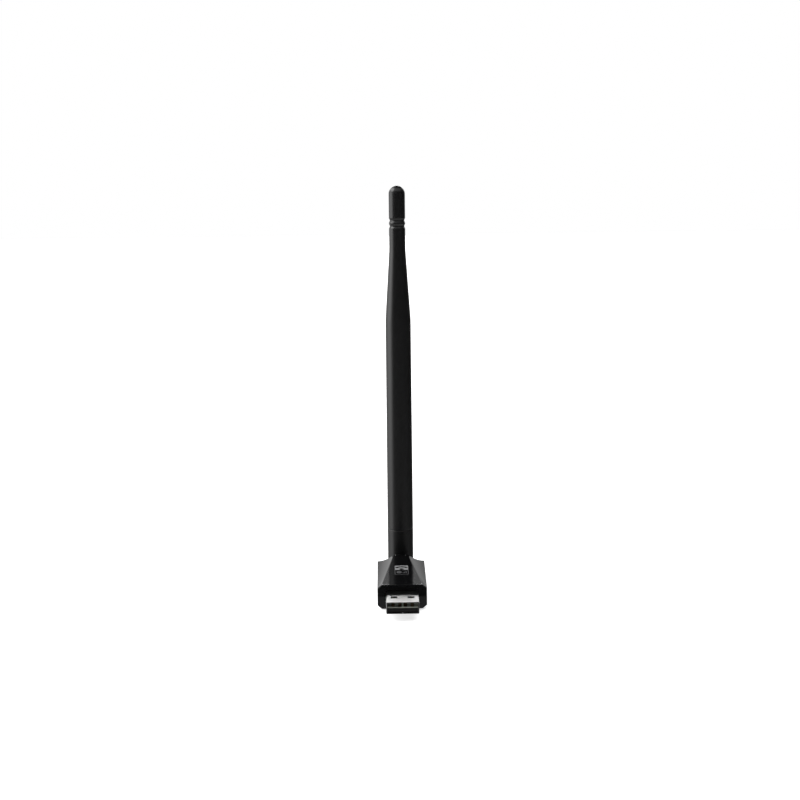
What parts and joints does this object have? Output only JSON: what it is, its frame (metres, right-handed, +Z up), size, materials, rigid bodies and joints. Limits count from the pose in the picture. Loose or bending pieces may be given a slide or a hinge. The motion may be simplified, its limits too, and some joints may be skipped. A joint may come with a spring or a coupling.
{
  "type": "usb wifi adapter",
  "caption": "Faceted black USB stick adapter with a USB-A plug at one end and a whip antenna on a swivel-and-fold hinge at the other.",
  "frame": {"origin": "middle of the strip of the housing's front face that lies directly under the plug; the plug's centre line is 3.625 mm above it", "axes": "-Y the way the plug points, +Y towards the antenna, +X to the right seen from the plug's end with the antenna up, +Z up along the antenna at rest"},
  "size_m": [0.0188, 0.0592, 0.155],
  "materials": {
    "housing_black": "polished moulded ABS, glossy black",
    "antenna_black": "satin black moulded plastic",
    "badge_grey": "printed grey inlay",
    "plug_metal": "nickel-plated pressed steel",
    "plug_black": "black moulded insulator",
    "contact_gold": "gold-flashed contact",
    "board_green": "glass-epoxy board with green solder mask",
    "chip_black": "moulded chip package",
    "crystal_can": "pressed metal can",
    "ceramic_tan": "fired ceramic",
    "ferrite_grey": "ferrite",
    "coax_grey": "fluoropolymer cable jacket",
    "spring_steel": "plain spring steel",
    "sleeve_brass": "drawn brass",
    "wire_copper": "bare copper wire",
    "foam_white": "closed-cell foam"
  },
  "bodies": {
    "housing": {"top_cover": "housing_black", "bottom_cover": "housing_black", "badge": "badge_grey", "plug_shell": "plug_metal", "plug_insulator": "plug_black", "contact_1": "contact_gold", "contact_2": "contact_gold", "contact_3": "contact_gold", "contact_4": "contact_gold", "circuit_board": "board_green", "wifi_chip": "chip_black", "crystal": "crystal_can", "voltage_regulator": "chip_black", "power_inductor": "ferrite_grey", "rf_filter": "ceramic_tan", "capacitor_1": "ceramic_tan", "capacitor_2": "ceramic_tan", "capacitor_3": "ceramic_tan", "capacitor_4": "ceramic_tan", "coax_lead": "coax_grey"},
    "knuckle": {"swivel_knuckle": "antenna_black", "retaining_clip": "spring_steel", "friction_washer": "spring_steel", "knuckle_coax": "coax_grey"},
    "antenna": {"antenna_base": "antenna_black", "hinge_pin": "antenna_black", "antenna_radome": "antenna_black", "antenna_coax": "coax_grey", "brass_sleeve": "sleeve_brass", "radiator_wire": "wire_copper", "foam_spacer": "foam_white"}
  },
  "joints": [
    {"name": "antenna_swivel", "type": "hinge", "parent": "housing", "child": "knuckle", "pos_m": [0, 0.035, 0.00363], "axis": [0, 1, 0], "range_deg": [-90, 90]},
    {"name": "antenna_fold", "type": "hinge", "parent": "knuckle", "child": "antenna", "pos_m": [0, 0.042, 0.00363], "axis": [-1, 0, 0], "range_deg": [0, 90]}
  ]
}
